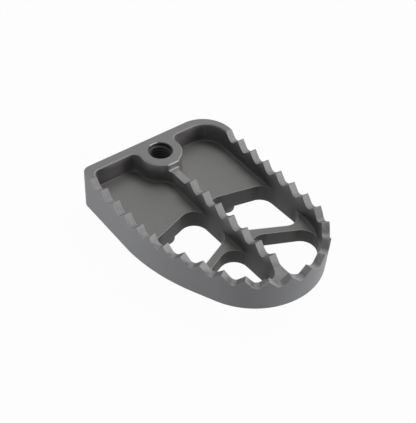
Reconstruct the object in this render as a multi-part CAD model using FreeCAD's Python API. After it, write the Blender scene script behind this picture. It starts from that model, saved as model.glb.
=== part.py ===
import FreeCAD, Part
import math
import os

os.makedirs("parts", exist_ok=True)

V = FreeCAD.Vector
UP = V(0, 0, 1)

# All lengths are in millimetres and all angles in degrees.
# The origin is on the axis of the threaded bore, level with the underside.
# +X runs from the bore to the nose, +Y across the peg and +Z up through the teeth.

# Body
body_height = 14.2
half_width = 26.75
wall = 2.5
back_x = -7.2
bar_thickness = 3.4
rib_width = 2.5

# Outline of the nose, as arcs and one straight flank that run smoothly into each other
shoulder_x = 45.6
nose_offset = 4.55
nose_blend = 2.3
shoulder_end_angle = 1.6
nose_end_angle = -66.0
flank_radius = 66.2

# Back corners, outside and inside
long_corner_radius = 11.1
short_corner_radius = 3.3
long_pocket_radius = 8.0
short_pocket_radius = 2.5

# Underside, thinner towards the nose
taper_start_x = 21.1
taper_rise = 0.0546

# Boss and threaded bore
boss_radius = 7.3
boss_front_x = 7.6
boss_bar_radius = 2.5
boss_rib_radius = 4.0
bore_radius = 4.0
bore_chamfer = 0.25

# Small flat that breaks the sharp edges of the bar and boss
edge_break = 0.3

# Pockets and the webs left below them
pocket_depth = 7.4
floor_radius = 0.65

# Windows between the webs, the cross ribs and the nose
window_radius = 5.0
cross_rib = 2.5
web_end_x = 20.75
right_web_lean = 14.7
left_web_lean = 16.0
right_rib_x = 38.4
right_rib_lean = 26.8
left_rib_x = 39.05
left_rib_lean = 21.7
right_nose_corner = 2.5
left_nose_corner = 4.0

# Teeth
tooth_pitch = 6.5
short_pitch = 5.55
nose_pitch = 7.16
tooth_depth = 2.75
tooth_land = 0.2
valley_radius = 1.6
right_first_x = 4.65
right_valleys = 7
left_first_x = -1.4
left_valleys = 4
short_valleys = 2
flank_valleys = 2
rib_first_x = 14.65
fan_length = 5.0

# Two round bosses under the webs
stud_x = 20.2
stud_y = 12.6
stud_radius = 3.4
stud_length = 3.2
stud_chamfer = 0.4

# Values that follow from the ones above
pocket_floor_z = body_height - pocket_depth
valley_z = body_height - tooth_depth
bar_front_x = back_x + bar_thickness
overrun = 3.0
reach = 100.0
past_wall = wall + 0.8
tip_radius = 2.5 * window_radius
touching = 0.01


def unit(angle):
    """Level unit vector that points along an angle from +X."""
    turn = math.radians(angle)
    return V(math.cos(turn), math.sin(turn), 0)


shoulder_radius = half_width - nose_offset
nose_radius = shoulder_radius + nose_blend
shoulder_centre = V(shoulder_x, nose_offset, 0)
nose_centre = shoulder_centre - unit(shoulder_end_angle) * nose_blend
nose_inside_x = nose_centre.x + nose_radius - wall


def find_flank_centre():
    """Centre of the long flank arc, which ends on the left wall."""
    out = unit(nose_end_angle)
    centre_y = flank_radius - half_width
    along = out.dot(nose_centre) + nose_radius - flank_radius
    return V((along - out.y * centre_y) / out.x, centre_y, 0)


flank_centre = find_flank_centre()


def arc(centre, radius, start, end):
    """Level arc about a centre from one angle to another."""
    first = centre + unit(start) * radius
    middle = centre + unit((start + end) / 2.0) * radius
    last = centre + unit(end) * radius
    return Part.Arc(first, middle, last).toShape()


def line(start, end):
    """Straight edge."""
    return Part.makeLine(start, end)


def rim_edges(inset, start_x, end_x):
    """Sides and nose of the outline moved inwards, from the right wall round to the left one."""
    side = half_width - inset
    out = unit(nose_end_angle)
    flank_start = nose_centre + out * (nose_radius - inset)
    flank_end = flank_centre + out * (flank_radius - inset)
    return [
        line(V(start_x, side, 0), V(shoulder_x, side, 0)),
        arc(shoulder_centre, shoulder_radius - inset, 90.0, shoulder_end_angle),
        arc(nose_centre, nose_radius - inset, shoulder_end_angle, nose_end_angle),
        line(flank_start, flank_end),
        arc(flank_centre, flank_radius - inset, nose_end_angle, -90.0),
        line(V(flank_centre.x, -side, 0), V(end_x, -side, 0)),
    ]


def rim_face(inset, edge_x, right_corner, left_corner):
    """Face bounded by the peg outline moved inwards by an inset."""
    side = half_width - inset
    right = V(edge_x + right_corner, side - right_corner, 0)
    left = V(edge_x + left_corner, left_corner - side, 0)
    back = [
        arc(left, left_corner, 270.0, 180.0),
        line(V(edge_x, left.y, 0), V(edge_x, right.y, 0)),
        arc(right, right_corner, 180.0, 90.0),
    ]
    return Part.Face(Part.Wire(rim_edges(inset, right.x, left.x) + back))


def prism(face, low, high):
    """Upright solid over a level face, between two heights."""
    moved = face.copy()
    moved.translate(V(0, 0, low))
    return moved.extrude(V(0, 0, high - low))


def block(low, high):
    """Box between two opposite corners."""
    size = high - low
    return Part.makeBox(size.x, size.y, size.z, low)


def round_upright(solid, radius, spots):
    """Round the upright edges that stand at the given plan positions."""
    chosen = []
    for edge in solid.Edges:
        ends = [vertex.Point for vertex in edge.Vertexes]
        if len(ends) != 2:
            continue
        along = ends[1] - ends[0]
        if math.hypot(along.x, along.y) > touching:
            continue
        for spot in spots:
            if math.hypot(ends[0].x - spot.x, ends[0].y - spot.y) < touching:
                chosen.append(edge)
    return solid.makeFillet(radius, chosen)


def upright_spots(solid, test):
    """Plan positions of the sharp upright edges that pass a test."""
    spots = []
    for edge in solid.Edges:
        ends = [vertex.Point for vertex in edge.Vertexes]
        if len(ends) != 2:
            continue
        along = ends[1] - ends[0]
        if math.hypot(along.x, along.y) > touching:
            continue
        if test(ends[0]):
            spots.append(ends[0])
    return spots


def make_blank():
    """Solid plate in the peg outline with the underside thinned to the nose."""
    plate = prism(rim_face(0.0, back_x, long_corner_radius, short_corner_radius), 0.0, body_height)
    start = V(taper_start_x, -reach, 0)
    end = V(taper_start_x + reach, -reach, reach * taper_rise)
    below = V(0, 0, -overrun)
    corners = [start, end, end + below, start + below, start]
    wedge = Part.Face(Part.makePolygon(corners)).extrude(V(0, 2 * reach, 0))
    return plate.cut(wedge)


def make_pocket(side):
    """Space above the webs on one side of the centre rib."""
    low = pocket_floor_z
    high = body_height + overrun
    inside = prism(rim_face(wall, bar_front_x, long_pocket_radius, short_pocket_radius), low, high)
    near = rib_width / 2.0
    half = block(V(-reach, near, low - overrun), V(reach, reach, high + overrun))
    nose_corner = right_nose_corner
    if side < 0:
        half = half.mirror(V(0, 0, 0), V(0, 1, 0))
        nose_corner = left_nose_corner
    boss = Part.makeCylinder(boss_radius, high - low, V(0, 0, low))
    space = inside.common(half).cut(boss)

    at_bar = upright_spots(space, lambda p: abs(p.x - bar_front_x) < touching and abs(p.y) < boss_radius)
    at_rib = upright_spots(space, lambda p: abs(abs(p.y) - near) < touching and p.x < boss_radius)
    at_nose = upright_spots(space, lambda p: abs(abs(p.y) - near) < touching and p.x > boss_radius)
    space = round_upright(space, boss_bar_radius, at_bar)
    space = round_upright(space, boss_rib_radius, at_rib)
    return round_upright(space, nose_corner, at_nose)


def soften_floor(space):
    """Round the lower rim of a pocket, as left by a tool with rounded corners."""
    chosen = []
    for edge in space.Edges:
        box = edge.BoundBox
        if abs(box.ZMax - pocket_floor_z) < touching:
            chosen.append(edge)
    return space.makeFillet(floor_radius, chosen)


def floor_face(space):
    """Level face at the bottom of a pocket."""
    return min(space.Faces, key=lambda face: face.BoundBox.ZMax)


def strip(start_x, end_x, lean, side):
    """Level face between two parallel lines that lean towards the nose."""
    across = V(math.tan(math.radians(lean)), side, 0) * reach
    start = V(start_x, 0, pocket_floor_z)
    end = V(end_x, 0, pocket_floor_z)
    corners = [start, start + across, end + across, end, start]
    return Part.Face(Part.makePolygon(corners))


def rounded(plan, radius):
    """Part of a plan that an upright cutter of a given radius reaches."""
    path = plan.Faces[0].makeOffset2D(-radius)
    return path.Faces[0].makeOffset2D(radius)


def through(plan):
    """Opening cut right through the floor, up to where its rim meets the walls."""
    return prism(plan, floor_radius, -pocket_floor_z - overrun)


def make_windows(side):
    """The two openings on one side: one before the cross rib and one in the nose."""
    if side > 0:
        web_lean = right_web_lean
        rib_x = right_rib_x
        rib_lean = right_rib_lean
    else:
        web_lean = left_web_lean
        rib_x = left_rib_x
        rib_lean = left_rib_lean
    plan = floor_face(make_pocket(side))
    half_rib = cross_rib / 2.0 / math.cos(math.radians(rib_lean))
    past_web = strip(web_end_x, reach, web_lean, side)
    before_rib = strip(-reach, rib_x - half_rib, rib_lean, side)
    past_rib = strip(rib_x + half_rib, reach, rib_lean, side)
    middle = plan.common(past_web).common(before_rib)
    nose = plan.common(past_rib)

    tip = V(shoulder_x + shoulder_radius - wall, 0, pocket_floor_z)
    disc = Part.Face(Part.Wire(Part.makeCircle(tip_radius, tip)))
    tip_corner = nose.common(disc)
    return [through(rounded(middle, window_radius)), through(rounded(nose, window_radius)), through(tip_corner)]


def valley_cutter(point, out, width, inward, outward):
    """Bar that leaves one valley between two teeth: straight flanks and a round bottom."""
    half = (width - tooth_land) / 2.0
    rise = tooth_depth - valley_radius
    slope = math.atan2(rise, half) + math.asin(valley_radius / math.hypot(rise, half))
    foot = valley_radius * math.sin(slope)
    foot_z = valley_z + valley_radius * (1.0 - math.cos(slope))
    top = half + overrun / math.tan(slope)
    top_z = body_height + overrun
    start = point - out * inward
    along = UP.cross(out)
    bottom = start + UP * valley_z
    feet = [start + along * x + UP * foot_z for x in (-foot, foot)]
    tops = [start + along * x + UP * top_z for x in (-top, top)]
    edges = [
        Part.Arc(feet[0], bottom, feet[1]).toShape(),
        line(feet[1], tops[1]),
        line(tops[1], tops[0]),
        line(tops[0], feet[0]),
    ]
    return Part.Face(Part.Wire(edges)).extrude(out * (inward + outward))


def valley_spots():
    """Distances along the rim and widths of its valleys, from the right first tooth to the left."""
    length = sum(edge.Length for edge in rim_edges(0.0, right_first_x, left_first_x))
    right = [tooth_pitch] * right_valleys
    left = [tooth_pitch] * flank_valleys + [short_pitch] * short_valleys + [tooth_pitch] * left_valleys
    rest = length - sum(right) - sum(left)
    nose_valleys = round(rest / nose_pitch)
    widths = right + [rest / nose_valleys] * nose_valleys + left
    spots = []
    start = 0.0
    for width in widths:
        spots.append((start + width / 2.0, width))
        start = start + width
    return spots


def make_rim_cutters():
    """Cutters for the valleys all round the rim, each square to the wall."""
    cutters = []
    edges = rim_edges(0.0, right_first_x, left_first_x)
    start = 0.0
    spots = valley_spots()
    for edge in edges:
        for distance, width in spots:
            along = distance - start
            if 0.0 <= along < edge.Length:
                where = edge.getParameterByLength(along)
                out = UP.cross(edge.tangentAt(where))
                cutters.append(valley_cutter(edge.valueAt(where), out, width, past_wall, overrun))
        start = start + edge.Length
    return cutters


def rib_spots():
    """Positions along the centre rib of the middles of its valleys."""
    valleys = int((nose_inside_x - fan_length - rib_first_x) / tooth_pitch)
    return [rib_first_x + step * tooth_pitch for step in range(valleys + 1)]


def make_rib_cutters():
    """Cutters for the valleys of the centre rib."""
    across = V(0, 1, 0)
    cutters = []
    for x in rib_spots():
        cutters.append(valley_cutter(V(x, 0, 0), across, tooth_pitch, boss_radius, boss_radius))
    return cutters


def make_flat_cutters():
    """Cutters for the two low flats at the ends of the centre rib."""
    high = body_height + overrun
    step = block(V(boss_front_x, -boss_radius, valley_z), V(rib_first_x, boss_radius, high))
    inner = []
    for edge in step.Edges:
        box = edge.BoundBox
        if abs(box.XMax - boss_front_x) < touching and abs(box.ZMax - valley_z) < touching:
            inner.append(edge)
    step = step.makeFillet(floor_radius, inner)
    inside = rim_face(wall, bar_front_x, long_pocket_radius, short_pocket_radius)
    fan = block(V(rib_spots()[-1], -reach, valley_z), V(reach, reach, high))
    return [step, prism(inside, valley_z, high).common(fan)]


def break_bar_edges(solid):
    """Chamfer the edges of the flat top of the bar and boss, up to the first teeth."""
    tops = [face for face in solid.Faces if face.BoundBox.ZMin > body_height - touching]
    chosen = []
    for edge in max(tops, key=lambda face: face.Area).Edges:
        box = edge.BoundBox
        across_wall = box.XLength < touching and abs(box.Center.y) > half_width - wall
        if not across_wall:
            chosen.append(edge)
    return solid.makeChamfer(edge_break, chosen)


def make_bore():
    """Through bore with a small chamfer at its upper mouth."""
    wide = bore_radius + bore_chamfer + overrun
    hole = Part.makeCylinder(bore_radius, body_height + 2 * overrun, V(0, 0, -overrun))
    mouth = Part.makeCone(bore_radius, wide, wide - bore_radius, V(0, 0, body_height - bore_chamfer))
    return hole.fuse(mouth)


def make_stud(side):
    """Short round boss that stands down from the underside of one web."""
    base = V(stud_x, side * stud_y, -stud_length)
    tip = Part.makeCone(stud_radius - stud_chamfer, stud_radius, stud_chamfer, base)
    shank_base = base + UP * stud_chamfer
    shank = Part.makeCylinder(stud_radius, stud_length, shank_base)
    return tip.fuse(shank)


def make_foot_peg():
    """The whole peg, machined from one piece."""
    peg = make_blank()
    peg = peg.cut([soften_floor(make_pocket(side)) for side in (1, -1)])
    peg = peg.fuse([make_stud(side) for side in (1, -1)])
    peg = peg.cut(make_windows(1) + make_windows(-1))
    peg = peg.cut(make_flat_cutters())
    peg = peg.cut(make_rim_cutters())
    peg = peg.cut(make_rib_cutters())
    peg = break_bar_edges(peg.removeSplitter())
    peg = peg.cut(make_bore())
    return peg.removeSplitter()


foot_peg = make_foot_peg()
foot_peg.exportStep("parts/foot_peg.step")
print("solids", len(foot_peg.Solids), "valid", foot_peg.isValid(), "volume", round(foot_peg.Volume, 1))
print("box", foot_peg.BoundBox)
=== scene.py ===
"""Studio scene of a machined, toothed foot peg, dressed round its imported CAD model."""

import logging
import math
from dataclasses import dataclass
from enum import Enum
from typing import Any

import bmesh
import bpy
from mathutils import Matrix, Vector


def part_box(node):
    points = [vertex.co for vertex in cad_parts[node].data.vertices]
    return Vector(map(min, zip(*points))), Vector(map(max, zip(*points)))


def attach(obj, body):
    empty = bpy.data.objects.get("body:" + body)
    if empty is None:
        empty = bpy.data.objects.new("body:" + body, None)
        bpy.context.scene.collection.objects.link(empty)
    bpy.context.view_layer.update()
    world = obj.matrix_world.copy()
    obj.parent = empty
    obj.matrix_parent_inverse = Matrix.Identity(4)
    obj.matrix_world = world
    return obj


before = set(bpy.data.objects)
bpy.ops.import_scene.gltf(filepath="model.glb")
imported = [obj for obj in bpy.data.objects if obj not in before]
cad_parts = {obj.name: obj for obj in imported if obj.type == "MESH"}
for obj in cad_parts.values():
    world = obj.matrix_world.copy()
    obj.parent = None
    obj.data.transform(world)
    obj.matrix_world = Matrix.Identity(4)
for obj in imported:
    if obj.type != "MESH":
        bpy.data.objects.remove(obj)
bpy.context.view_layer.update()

MM = 0.001
LOG = logging.getLogger("foot_peg")

# Values between which a mask rises or falls, and shares of the three parts of a colour or vector.
Band = tuple[float, float]
Shares = tuple[float, float, float]


class Node(Enum):
    """Shader nodes that the finishes use."""

    PRINCIPLED = "ShaderNodeBsdfPrincipled"
    DIFFUSE = "ShaderNodeBsdfDiffuse"
    EMISSION = "ShaderNodeEmission"
    MIX_SHADER = "ShaderNodeMixShader"
    MIX = "ShaderNodeMix"
    MATH = "ShaderNodeMath"
    VECTOR_MATH = "ShaderNodeVectorMath"
    NOISE = "ShaderNodeTexNoise"
    RANGE = "ShaderNodeMapRange"
    COORDINATES = "ShaderNodeTexCoord"
    GEOMETRY = "ShaderNodeNewGeometry"
    SEPARATE = "ShaderNodeSeparateXYZ"
    BEVEL = "ShaderNodeBevel"
    BUMP = "ShaderNodeBump"
    OCCLUSION = "ShaderNodeAmbientOcclusion"
    LIGHT_PATH = "ShaderNodeLightPath"
    BACKGROUND = "ShaderNodeBackground"
    SURFACE_OUTPUT = "ShaderNodeOutputMaterial"
    WORLD_OUTPUT = "ShaderNodeOutputWorld"


class Signal:
    """Output socket of a shader node that takes part in Python arithmetic."""

    def __init__(self, graph: "Graph", socket: bpy.types.NodeSocket) -> None:
        """Wrap a socket.

        Args:
            graph: The graph that the socket's node belongs to.
            socket: The output socket.
        """
        self.graph = graph
        self.socket = socket

    def _math(self, operation: str, first: Any, second: Any) -> "Signal":
        """Add a Math node.

        Args:
            operation: Name of the node's operation.
            first: First value or signal.
            second: Second value or signal.

        Returns:
            The node's result.
        """
        return self.graph.add(Node.MATH, {"operation": operation}, {0: first, 1: second})[0]

    def __add__(self, other: Any) -> "Signal":
        """Sum of two signals."""
        return self._math("ADD", self, other)

    def __radd__(self, other: Any) -> "Signal":
        """Sum of a number and this signal."""
        return self._math("ADD", other, self)

    def __sub__(self, other: Any) -> "Signal":
        """Difference of two signals."""
        return self._math("SUBTRACT", self, other)

    def __rsub__(self, other: Any) -> "Signal":
        """Difference of a number and this signal."""
        return self._math("SUBTRACT", other, self)

    def __mul__(self, other: Any) -> "Signal":
        """Product of two signals, or of a colour and a signal."""
        if self.socket.type in ("RGBA", "VECTOR"):
            return self.graph.add(Node.VECTOR_MATH, {"operation": "SCALE"}, {0: self, "Scale": other})[0]
        return self._math("MULTIPLY", self, other)

    def __rmul__(self, other: Any) -> "Signal":
        """Product of a number and this signal."""
        return self * other

    def scaled(self, shares: Shares) -> "Signal":
        """Colour or vector with each part multiplied by a share of its own.

        Args:
            shares: Shares of red, green and blue, or of X, Y and Z.

        Returns:
            The scaled colour or vector.
        """
        return self.graph.add(Node.VECTOR_MATH, {"operation": "MULTIPLY"}, {0: self, 1: shares})[0]

    def length(self) -> "Signal":
        """Length of a vector."""
        return self.graph.add(Node.VECTOR_MATH, {"operation": "LENGTH"}, {0: self})["Value"]

    def dot(self, other: "Signal") -> "Signal":
        """Dot product of two vectors."""
        return self.graph.add(Node.VECTOR_MATH, {"operation": "DOT_PRODUCT"}, {0: self, 1: other})["Value"]

    def parts(self) -> tuple["Signal", "Signal", "Signal"]:
        """X, Y and Z of a vector."""
        made = self.graph.add(Node.SEPARATE, {}, {0: self})
        return made["X"], made["Y"], made["Z"]

    def either(self, other: "Signal") -> "Signal":
        """Larger of two signals."""
        return self._math("MAXIMUM", self, other)

    def above(self, band: Band) -> "Signal":
        """Mask that rises smoothly from 0 to 1 across a band.

        Args:
            band: Values where the rise starts and ends.

        Returns:
            The mask.
        """
        settings = {"interpolation_type": "SMOOTHSTEP"}
        values = {"Value": self, "From Min": band[0], "From Max": band[1]}
        return self.graph.add(Node.RANGE, settings, values)["Result"]

    def below(self, band: Band) -> "Signal":
        """Mask that falls smoothly from 1 to 0 across a band.

        Args:
            band: Values where the fall starts and ends.

        Returns:
            The mask.
        """
        return 1.0 - self.above(band)


class Outputs:
    """Output sockets of a node, by name or by place."""

    def __init__(self, graph: "Graph", node: bpy.types.Node) -> None:
        """Keep a node's outputs.

        Args:
            graph: The graph that the node belongs to.
            node: The node.
        """
        self.graph = graph
        self.node = node

    def __getitem__(self, key: int | str) -> Signal:
        """Output socket as a signal."""
        return Signal(self.graph, self.node.outputs[key])


class Graph:
    """Node tree of a material or of the world, built from expressions."""

    def __init__(self, tree: bpy.types.NodeTree) -> None:
        """Empty a node tree.

        Args:
            tree: The tree to fill.
        """
        self.tree = tree
        tree.nodes.clear()

    def add(self, kind: Node, settings: dict[str, Any], values: dict[int | str, Any]) -> Outputs:
        """Add a node.

        Args:
            kind: The node's type.
            settings: Values of the node's own properties, which are set first.
            values: Values or signals of its input sockets.

        Returns:
            The node's outputs.
        """
        node = self.tree.nodes.new(kind.value)
        for name, value in settings.items():
            setattr(node, name, value)
        for key, value in values.items():
            if isinstance(value, Signal):
                self.tree.links.new(value.socket, node.inputs[key])
            else:
                node.inputs[key].default_value = value
        return Outputs(self, node)

    def blend(self, factor: Any, first: Any, second: Any) -> Signal:
        """Mix two colours.

        Args:
            factor: Share of the second colour.
            first: First colour.
            second: Second colour.

        Returns:
            The mixed colour.
        """
        values = {"Factor": factor, 6: first, 7: second}
        return self.add(Node.MIX, {"data_type": "RGBA"}, values)[2]

    def noise(self, place: Signal, grain: float, detail: float) -> Signal:
        """Soft random pattern.

        Args:
            place: Coordinates.
            grain: Size of a grain, in metres.
            detail: Number of finer octaves.

        Returns:
            The pattern, from 0 to 1.
        """
        values = {"Vector": place, "Scale": 1.0 / grain, "Detail": detail}
        return self.add(Node.NOISE, {}, values)[0]

    def openness(self, reach: float, samples: int) -> Signal:
        """Share of the space round a spot that the solid leaves open.

        Args:
            reach: Distance that counts as near, in metres.
            samples: Number of directions that are tried.

        Returns:
            The share, from 0 to 1.
        """
        settings = {"samples": samples, "only_local": True}
        return self.add(Node.OCCLUSION, settings, {"Distance": reach})["AO"]

    def rounded_normal(self, radius: float, samples: int) -> Signal:
        """Normal as if all edges were rounded.

        Args:
            radius: Radius of the edges.
            samples: Number of directions that are tried.

        Returns:
            The normal.
        """
        return self.add(Node.BEVEL, {"samples": samples}, {"Radius": radius})["Normal"]


def grey(level: float, warmth: float = 0.0) -> tuple[float, float, float, float]:
    """Grey colour with a slight tint.

    Args:
        level: Linear brightness.
        warmth: Share by which red rises and blue falls.

    Returns:
        The colour with full alpha.
    """
    return (level * (1.0 + warmth), level, level * (1.0 - warmth), 1.0)


@dataclass
class PegPlaces:
    """Masks of the peg's faces, from their place, their direction and how open they lie."""

    graph: Graph
    wear_and_highlight_radius: float
    teeth: tuple[Band, Band] = ((11.2 * MM, 11.3 * MM), (14.17 * MM, 14.19 * MM))
    floor_top: Band = (7.6 * MM, 7.7 * MM)
    web_top: Band = (6.9 * MM, 7.0 * MM)
    web_side: Band = (6.6 * MM, 6.9 * MM)
    step: tuple[Band, Band] = ((7.1 * MM, 7.15 * MM), (8.2 * MM, 8.25 * MM))
    boss: Band = (8.8 * MM, 9.2 * MM)
    bore: Band = (4.15 * MM, 4.25 * MM)
    mouth: Band = (4.27 * MM, 4.3 * MM)
    rib: Band = (1.3 * MM, 1.4 * MM)
    bar_end: Band = (12.0 * MM, 22.0 * MM)
    near_reach: float = 1.2 * MM
    near_open: Band = (0.7, 0.95)
    near_samples: int = 10
    wide_reach: float = 9.0 * MM
    wide_open: Band = (0.82, 0.97)
    wide_samples: int = 12
    edge_turn: Band = (0.01, 0.12)
    edge_turn_samples: int = 8
    level_up: Band = (0.9, 0.95)
    wall_up: Band = (0.3, 0.85)
    cut_up: Band = (0.25, 0.4)
    cut_back: Band = (0.35, 0.6)
    bar_forward: Band = (0.8, 0.95)
    slant_up: Band = (0.3, 0.4)
    slant_forward: Band = (0.64, 0.68)

    def __post_init__(self) -> None:
        """Work out the masks."""
        graph = self.graph
        self.place = graph.add(Node.COORDINATES, {}, {})["Object"]
        x, y, z = self.place.parts()
        normal = graph.add(Node.GEOMETRY, {}, {})["Normal"]
        forward, _, up = normal.parts()
        from_axis = self.place.scaled((1.0, 1.0, 0.0)).length()
        turn = 1.0 - normal.dot(graph.rounded_normal(self.wear_and_highlight_radius, self.edge_turn_samples))
        near = graph.openness(self.near_reach, self.near_samples)
        self.room = graph.openness(self.wide_reach, self.wide_samples)

        # Convex edges, which the finish lightens partly as wear and partly as a painted highlight.
        self.edge = turn.above(self.edge_turn) * near.above(self.near_open)
        # Top edges of the webs, which get a painted highlight.
        self.web_highlight_line = self.edge * up.above(self.level_up) * z.below(self.web_top)
        self.cut = z.above(self.teeth[0]) * z.below(self.teeth[1]) * up.above(self.cut_up)
        # Cut faces that face back, which get painted shade.
        self.turned_cut = self.cut * (0.0 - forward).above(self.cut_back)
        upright = up.below(self.wall_up)
        # Upright faces in recesses, on which the finish paints shade.
        self.inside = self.room.below(self.wide_open) * upright
        self.outside = upright - self.inside
        self.floor = (1.0 - upright) * z.below(self.floor_top)
        self.in_bore = from_axis.below(self.bore)

        aside = y * y
        far_aside = aside.above(self._squared(self.bar_end))
        # Inner walls beside the middle rib, which get painted light.
        self.rib_side = self.inside * aside.below(self._squared(self.rib))
        # Outer ends of the back bar's inner face, which get painted shade.
        self.bar_side = self.inside * far_aside * forward.above(self.bar_forward)
        self.low_side = self.inside * z.below(self.web_side)

        # Slanted faces at the step and the bore's mouth, which get a painted highlight.
        step = x.above(self.step[0]) * x.below(self.step[1]) * from_axis.below(self.boss)
        slanted = up.above(self.slant_up) * up.below(self.level_up) * forward.above(self.slant_forward)
        self.highlight_slant = step.either(from_axis.below(self.mouth)) * slanted

    @staticmethod
    def _squared(band: Band) -> Band:
        """Band for the square of a value."""
        return (band[0] ** 2, band[1] ** 2)


@dataclass(frozen=True)
class HardAnodised:
    """Dark grey hard anodised aluminium with a blasted grain, tool marks, worn edges with painted
    highlights, and painted light and shade on the teeth and inner walls.
    """

    name: str = "hard_anodised"
    level: float = 0.165
    warmth: float = 0.01
    index: float = 1.35
    roughness: float = 0.5
    cloud: float = 6.0 * MM
    cloud_detail: float = 3.0
    cloud_swing: float = 0.05
    cloud_roughness: float = 0.08
    grain: float = 0.16 * MM
    grain_detail: float = 2.0
    grain_depth: float = 0.006 * MM
    grain_strength: float = 0.6
    speck: float = 0.64 * MM
    speck_detail: float = 1.0
    speck_band: Band = (0.35, 0.7)
    speck_share: float = 0.25
    speck_gain: float = 1.15
    speck_roughness: float = 0.06
    streak: float = 0.45 * MM
    streak_detail: float = 1.0
    streak_stretch: Shares = (0.1, 1.0, 0.1)
    streak_depth: float = 0.5
    edge_radius: float = 0.1 * MM
    edge_samples: int = 6
    wear_and_highlight_radius: float = 0.4 * MM
    wear_and_highlight_gain: float = 1.35
    wear_polish: float = 0.05
    web_highlight_gain: float = 3.2
    highlight_slant_gain: float = 2.6
    cut_gain: float = 1.35
    back_shade_share: float = 0.55
    bore_share: float = 0.2
    wall_room: Band = (0.45, 0.85)
    wall_top_share: float = 0.5
    wall_foot_share: float = 1.15
    rib_gain: float = 1.45
    bar_end_share: float = 0.4
    low_dulling: float = 0.12
    cut_tint: Shares = (1.02, 0.995, 1.005)
    inside_tint: Shares = (1.03, 0.965, 1.01)
    outside_tint: Shares = (0.99, 1.0, 1.035)
    floor_tint: Shares = (1.005, 1.0, 0.955)

    def material(self) -> bpy.types.Material:
        """Build the material.

        Returns:
            The new material.
        """
        made = bpy.data.materials.new(self.name)
        made.use_nodes = True
        graph = Graph(made.node_tree)
        places = PegPlaces(graph, self.wear_and_highlight_radius)
        cloud = graph.noise(places.place, self.cloud, self.cloud_detail)
        speck = graph.noise(places.place, self.speck, self.speck_detail)
        coat = self._coat(graph, places, cloud, speck)
        tinted = self._tinted(graph, places, self._cut_marks_and_light(graph, places, coat))
        values = {
            "Base Color": self._shaded(graph, places, tinted),
            "IOR": self.index,
            "Roughness": self._gloss(places, cloud, speck),
            "Normal": self._relief(graph, places),
        }
        surface = graph.add(Node.PRINCIPLED, {}, values)["BSDF"]
        graph.add(Node.SURFACE_OUTPUT, {}, {"Surface": surface})
        return made

    def _coat(self, graph: Graph, places: PegPlaces, cloud: Signal, speck: Signal) -> Signal:
        """Colour of the coat, with its faint stains and specks, its edges lightened partly as wear and
        partly as a painted highlight, and a painted highlight along the webs' top edges.

        Args:
            graph: Graph of the finish.
            places: Masks of the peg's faces.
            cloud: Pattern of the stains.
            speck: Pattern of the specks.

        Returns:
            The colour.
        """
        deep = grey(self.level * (1.0 - self.cloud_swing), self.warmth)
        pale = grey(self.level * (1.0 + self.cloud_swing), -self.warmth)
        stained = graph.blend(cloud, deep, pale)
        specks = speck.above(self.speck_band) * self.speck_share
        speckled = graph.blend(specks, stained, grey(self.level * self.speck_gain))
        # Edges lightened partly as wear, partly as a painted highlight.
        rubbed_and_highlit = graph.blend(places.edge, speckled, grey(self.level * self.wear_and_highlight_gain))
        # Painted highlight: a bright line on the top edges of the webs.
        return graph.blend(places.web_highlight_line, rubbed_and_highlit, grey(self.level * self.web_highlight_gain))

    def _cut_marks_and_light(self, graph: Graph, places: PegPlaces, colour: Signal) -> Signal:
        """Teeth's cut faces made lighter as painted light, with the cutter's fine marks, and painted shade
        where they face back.

        Args:
            graph: Graph of the finish.
            places: Masks of the peg's faces.
            colour: Colour of the coat.

        Returns:
            The colour.
        """
        # Painted light: the cut faces of the teeth are made lighter.
        lighter = colour * (1.0 + places.cut * (self.cut_gain - 1.0))
        lighter = graph.blend(places.cut, lighter, lighter.scaled(self.cut_tint))
        stretched = places.place.scaled(self.streak_stretch)
        streak = graph.noise(stretched, self.streak, self.streak_detail)
        marked = lighter * (1.0 + places.cut * ((streak - 0.5) * self.streak_depth))
        # Painted shade on the cut faces that face back.
        return marked * (1.0 - places.turned_cut * (1.0 - self.back_shade_share))

    def _tinted(self, graph: Graph, places: PegPlaces, colour: Signal) -> Signal:
        """Slightly different hues on the inner walls, the outer walls and the floors.

        Args:
            graph: Graph of the finish.
            places: Masks of the peg's faces.
            colour: Colour so far.

        Returns:
            The tinted colour.
        """
        tints = (
            (places.inside, self.inside_tint),
            (places.outside, self.outside_tint),
            (places.floor, self.floor_tint),
        )
        for mask, tint in tints:
            colour = graph.blend(mask, colour, colour.scaled(tint))
        return colour

    def _shaded(self, graph: Graph, places: PegPlaces, colour: Signal) -> Signal:
        """Painted shade on the inner walls and in the bore, as the photograph has it, painted light on the
        rib's sides, and a painted highlight on the slanted faces at the step and the bore's mouth.

        Args:
            graph: Graph of the finish.
            places: Masks of the peg's faces.
            colour: Tinted colour.

        Returns:
            The final colour.
        """
        # Painted shade on the inner walls: darker where they lie open near the top, slightly lighter near
        # the foot.
        fall = places.room.above(self.wall_room) * (self.wall_foot_share - self.wall_top_share)
        wall_share = self.wall_foot_share - fall
        shaded = colour * (1.0 - places.inside * (1.0 - wall_share))
        # Painted light on the sides of the middle rib.
        shaded = shaded * (1.0 + places.rib_side * (self.rib_gain - 1.0))
        # Painted shade on the outer ends of the back bar's inner face.
        shaded = shaded * (1.0 - places.bar_side * (1.0 - self.bar_end_share))
        # Painted shade in the bore and on its thread.
        shaded = shaded * (1.0 - places.in_bore * (1.0 - self.bore_share))
        # Painted highlight on the slanted faces at the step and the bore's mouth.
        return graph.blend(places.highlight_slant, shaded, grey(self.level * self.highlight_slant_gain))

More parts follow.
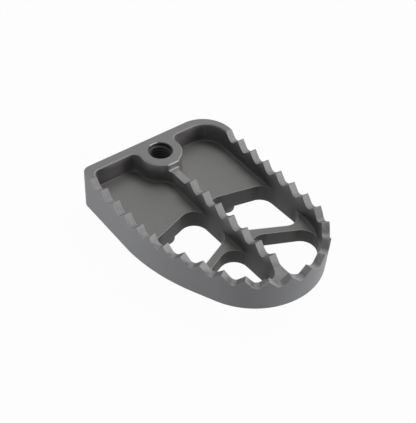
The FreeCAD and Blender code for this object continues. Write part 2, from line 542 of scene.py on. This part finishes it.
    def _gloss(self, places: PegPlaces, cloud: Signal, speck: Signal) -> Signal:
        """Roughness, lower on worn edges and higher on the sides of the webs.

        Args:
            places: Masks of the peg's faces.
            cloud: Pattern of the stains.
            speck: Pattern of the specks.

        Returns:
            The roughness.
        """
        stained = self.roughness + (cloud - 0.5) * self.cloud_roughness
        patchy = stained + (speck - 0.5) * self.speck_roughness
        return patchy - places.edge * self.wear_polish + places.low_side * self.low_dulling

    def _relief(self, graph: Graph, places: PegPlaces) -> Signal:
        """Normal with the blasted grain on slightly rounded edges.

        Args:
            graph: Graph of the finish.
            places: Masks of the peg's faces.

        Returns:
            The normal.
        """
        values = {
            "Strength": self.grain_strength,
            "Distance": self.grain_depth,
            "Height": graph.noise(places.place, self.grain, self.grain_detail),
            "Normal": graph.rounded_normal(self.edge_radius, self.edge_samples),
        }
        return graph.add(Node.BUMP, {}, values)["Normal"]


@dataclass(frozen=True)
class PaleFloor:
    """Studio floor that shows almost plain white, with a small share of real light and shadow."""

    name: str = "pale_floor"
    level: float = 0.5
    lit_share: float = 0.03

    def material(self) -> bpy.types.Material:
        """Build the material.

        Returns:
            The new material.
        """
        made = bpy.data.materials.new(self.name)
        made.use_nodes = True
        graph = Graph(made.node_tree)
        path = graph.add(Node.LIGHT_PATH, {}, {})
        seen = path["Is Camera Ray"].either(path["Is Transmission Ray"]) * (1.0 - self.lit_share)
        paint = graph.add(Node.DIFFUSE, {}, {"Color": grey(self.level)})["BSDF"]
        glow = graph.add(Node.EMISSION, {}, {"Color": grey(1.0), "Strength": 1.0})["Emission"]
        values = {0: seen.either(path["Is Glossy Ray"]), 1: paint, 2: glow}
        surface = graph.add(Node.MIX_SHADER, {}, values)[0]
        graph.add(Node.SURFACE_OUTPUT, {}, {"Surface": surface})
        return made


@dataclass
class PegBody:
    """The machined peg itself, which is the CAD solid with its finish."""

    node: bpy.types.Object
    finish: HardAnodised = HardAnodised()

    def dress(self) -> bpy.types.Material:
        """Give the solid its finish.

        Returns:
            The finish, for the pieces that share it.
        """
        made = self.finish.material()
        self.node.data.materials.clear()
        self.node.data.materials.append(made)
        LOG.info("dressed %s", self.node.name)
        return made


@dataclass
class BoreThread:
    """Helical thread that stands inside the wall of the bore."""

    height: float
    wall_radius: float = 4.0 * MM
    pitch: float = 1.25 * MM
    depth: float = 0.66 * MM
    crest: float = 0.18 * MM
    root: float = 1.08 * MM
    lead_in: float = 0.1 * MM
    sink: float = 0.03 * MM
    steps_per_turn: int = 56
    fade_turns: float = 1.0 / 3.0
    least_fade: float = 0.02

    def build(self, finish: bpy.types.Material) -> bpy.types.Object:
        """Make the thread and let it ride with the peg.

        Args:
            finish: Material of the peg.

        Returns:
            The thread's object.
        """
        low = self.lead_in + self.root / 2.0
        high = self.height - self.lead_in - self.root / 2.0
        turns = (high - low) / self.pitch
        steps = round(turns * self.steps_per_turn)
        mesh = bmesh.new()
        rings = []
        for step in range(steps + 1):
            share = step / steps
            angle = 2.0 * math.pi * turns * share
            nearer_end = min(share, 1.0 - share) * turns
            fade = min(1.0, nearer_end / self.fade_turns)
            rings.append(self._ring(mesh, low + (high - low) * share, angle, fade))
        for first, second in zip(rings[:-1], rings[1:]):
            for side in range(len(first)):
                after = (side + 1) % len(first)
                mesh.faces.new((first[side], first[after], second[after], second[side]))
        mesh.faces.new(rings[0])
        mesh.faces.new(tuple(reversed(rings[-1])))
        bmesh.ops.recalc_face_normals(mesh, faces=mesh.faces)
        data = bpy.data.meshes.new("bore_thread")
        mesh.to_mesh(data)
        mesh.free()
        data.materials.append(finish)
        thread = bpy.data.objects.new("bore_thread", data)
        bpy.context.scene.collection.objects.link(thread)
        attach(thread, "root")
        LOG.info("made %s with %d faces", thread.name, len(data.polygons))
        return thread

    def _ring(
        self, mesh: bmesh.types.BMesh, height: float, angle: float, fade: float
    ) -> tuple[bmesh.types.BMVert, ...]:
        """Section of the thread at one angle.

        Args:
            mesh: Mesh that takes the vertices.
            height: Height of the section's middle.
            angle: Angle about the bore's axis.
            fade: Share of the full depth.

        Returns:
            The section's vertices.
        """
        outer = self.wall_radius + self.sink
        inner = self.wall_radius - self.depth * max(fade, self.least_fade)
        corners = (
            (outer, -self.root / 2.0),
            (inner, -self.crest / 2.0),
            (inner, self.crest / 2.0),
            (outer, self.root / 2.0),
        )
        made = []
        for radius, rise in corners:
            place = Vector((radius * math.cos(angle), radius * math.sin(angle), height + rise))
            made.append(mesh.verts.new(place))
        return tuple(made)


@dataclass(frozen=True)
class Lamp:
    """Rectangular soft lamp that faces the peg."""

    name: str
    azimuth: float
    elevation: float
    distance: float
    size: float
    power: float

    def place(self, target: Vector) -> bpy.types.Object:
        """Add the lamp.

        Args:
            target: Point that it faces.

        Returns:
            The lamp's object.
        """
        turn = math.radians(self.azimuth)
        rise = math.radians(self.elevation)
        level = math.cos(rise)
        away = Vector((math.cos(turn) * level, math.sin(turn) * level, math.sin(rise)))
        data = bpy.data.lights.new(self.name, "AREA")
        data.size = self.size
        data.energy = self.power
        lamp = bpy.data.objects.new(self.name, data)
        lamp.location = target + away * self.distance
        lamp.rotation_mode = "QUATERNION"
        lamp.rotation_quaternion = (-away).to_track_quat("-Z", "Y")
        bpy.context.scene.collection.objects.link(lamp)
        LOG.info("placed %s", self.name)
        return lamp


@dataclass
class Studio:
    """Floor, soft light and camera."""

    floor_z: float
    floor_size: float = 4.0
    floor_gap: float = 0.02 * MM
    sky_level: float = 0.03
    lamps: tuple[Lamp, ...] = (
        Lamp("nose_lamp", 45.0, 14.0, 0.9, 0.35, 3.1),
        Lamp("low_nose_lamp", 45.0, 8.0, 0.9, 0.2, 3.55),
        Lamp("left_lamp", -103.0, 2.0, 0.151, 0.03, 0.067),
        Lamp("front_lamp", -50.0, 4.0, 0.9, 0.12, 1.85),
        Lamp("back_right_lamp", 135.0, 45.0, 0.9, 0.5, 1.15),
        Lamp("right_lamp", 90.0, 60.0, 0.9, 0.4, 3.25),
        Lamp("back_lamp", 160.0, 60.0, 0.9, 0.4, 1.55),
        Lamp("high_left_lamp", -90.0, 60.0, 0.9, 0.4, 0.5),
    )
    target: Vector = Vector((0.03, 0.0, 0.008))
    camera_place: Vector = Vector((170.314, -125.513, 200.801)) * MM
    camera_azimuth: float = -41.0947
    camera_elevation: float = 45.3985
    camera_roll: float = -4.3789
    focal_pixels: float = 844.3585
    frame_height: int = 423
    sensor: float = 36.0
    clip: Band = (0.01, 20.0)

    def build(self) -> None:
        """Add everything that stands round the peg."""
        self._floor()
        self._sky()
        for lamp in self.lamps:
            lamp.place(self.target)
        self._camera()

    def _floor(self) -> None:
        """Add the floor just below the peg."""
        half = self.floor_size / 2.0
        corners = [(-half, -half), (half, -half), (half, half), (-half, half)]
        data = bpy.data.meshes.new("floor")
        level = self.floor_z - self.floor_gap
        data.from_pydata([(x, y, level) for x, y in corners], [], [(0, 1, 2, 3)])
        data.materials.append(PaleFloor().material())
        floor = bpy.data.objects.new("floor", data)
        bpy.context.scene.collection.objects.link(floor)
        LOG.info("laid the floor")

    def _sky(self) -> None:
        """Surround the scene with faint even light that shows as white."""
        world = bpy.data.worlds.new("studio")
        bpy.context.scene.world = world
        world.use_nodes = True
        graph = Graph(world.node_tree)
        path = graph.add(Node.LIGHT_PATH, {}, {})
        seen = path["Is Camera Ray"].either(path["Is Transmission Ray"]).either(path["Is Glossy Ray"])
        strength = self.sky_level + seen * (1.0 - self.sky_level)
        shade = graph.add(Node.BACKGROUND, {}, {"Color": grey(1.0), "Strength": strength})["Background"]
        graph.add(Node.WORLD_OUTPUT, {}, {"Surface": shade})
        LOG.info("lit the surroundings")

    def _camera(self) -> None:
        """Add the camera at the photograph's viewing angle, turned about its own axis by the roll."""
        azimuth = math.radians(self.camera_azimuth)
        elevation = math.radians(self.camera_elevation)
        roll = math.radians(self.camera_roll)
        level = math.cos(elevation)
        back = Vector((math.cos(azimuth) * level, math.sin(azimuth) * level, math.sin(elevation)))
        right = (-back).cross(Vector((0.0, 0.0, 1.0))).normalized()
        down = (-back).cross(right)
        right_turned = right * math.cos(roll) + down * math.sin(roll)
        down_turned = down * math.cos(roll) - right * math.sin(roll)
        data = bpy.data.cameras.new("camera")
        data.sensor_width = self.sensor
        data.lens = self.focal_pixels * self.sensor / self.frame_height
        data.clip_start, data.clip_end = self.clip
        camera = bpy.data.objects.new("camera", data)
        axes = Matrix((right_turned, -down_turned, back)).transposed()
        camera.matrix_world = Matrix.Translation(self.camera_place) @ axes.to_4x4()
        bpy.context.scene.collection.objects.link(camera)
        bpy.context.scene.camera = camera
        LOG.info("set the camera")


def main() -> None:
    """Dress the peg and set up the studio."""
    logging.basicConfig(level=logging.INFO, format="%(name)s: %(message)s")
    bpy.context.scene.view_settings.view_transform = "Standard"
    low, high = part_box("foot_peg")
    finish = PegBody(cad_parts["foot_peg"]).dress()
    BoreThread(high.z).build(finish)
    Studio(low.z).build()


if __name__ == "__main__":
    main()
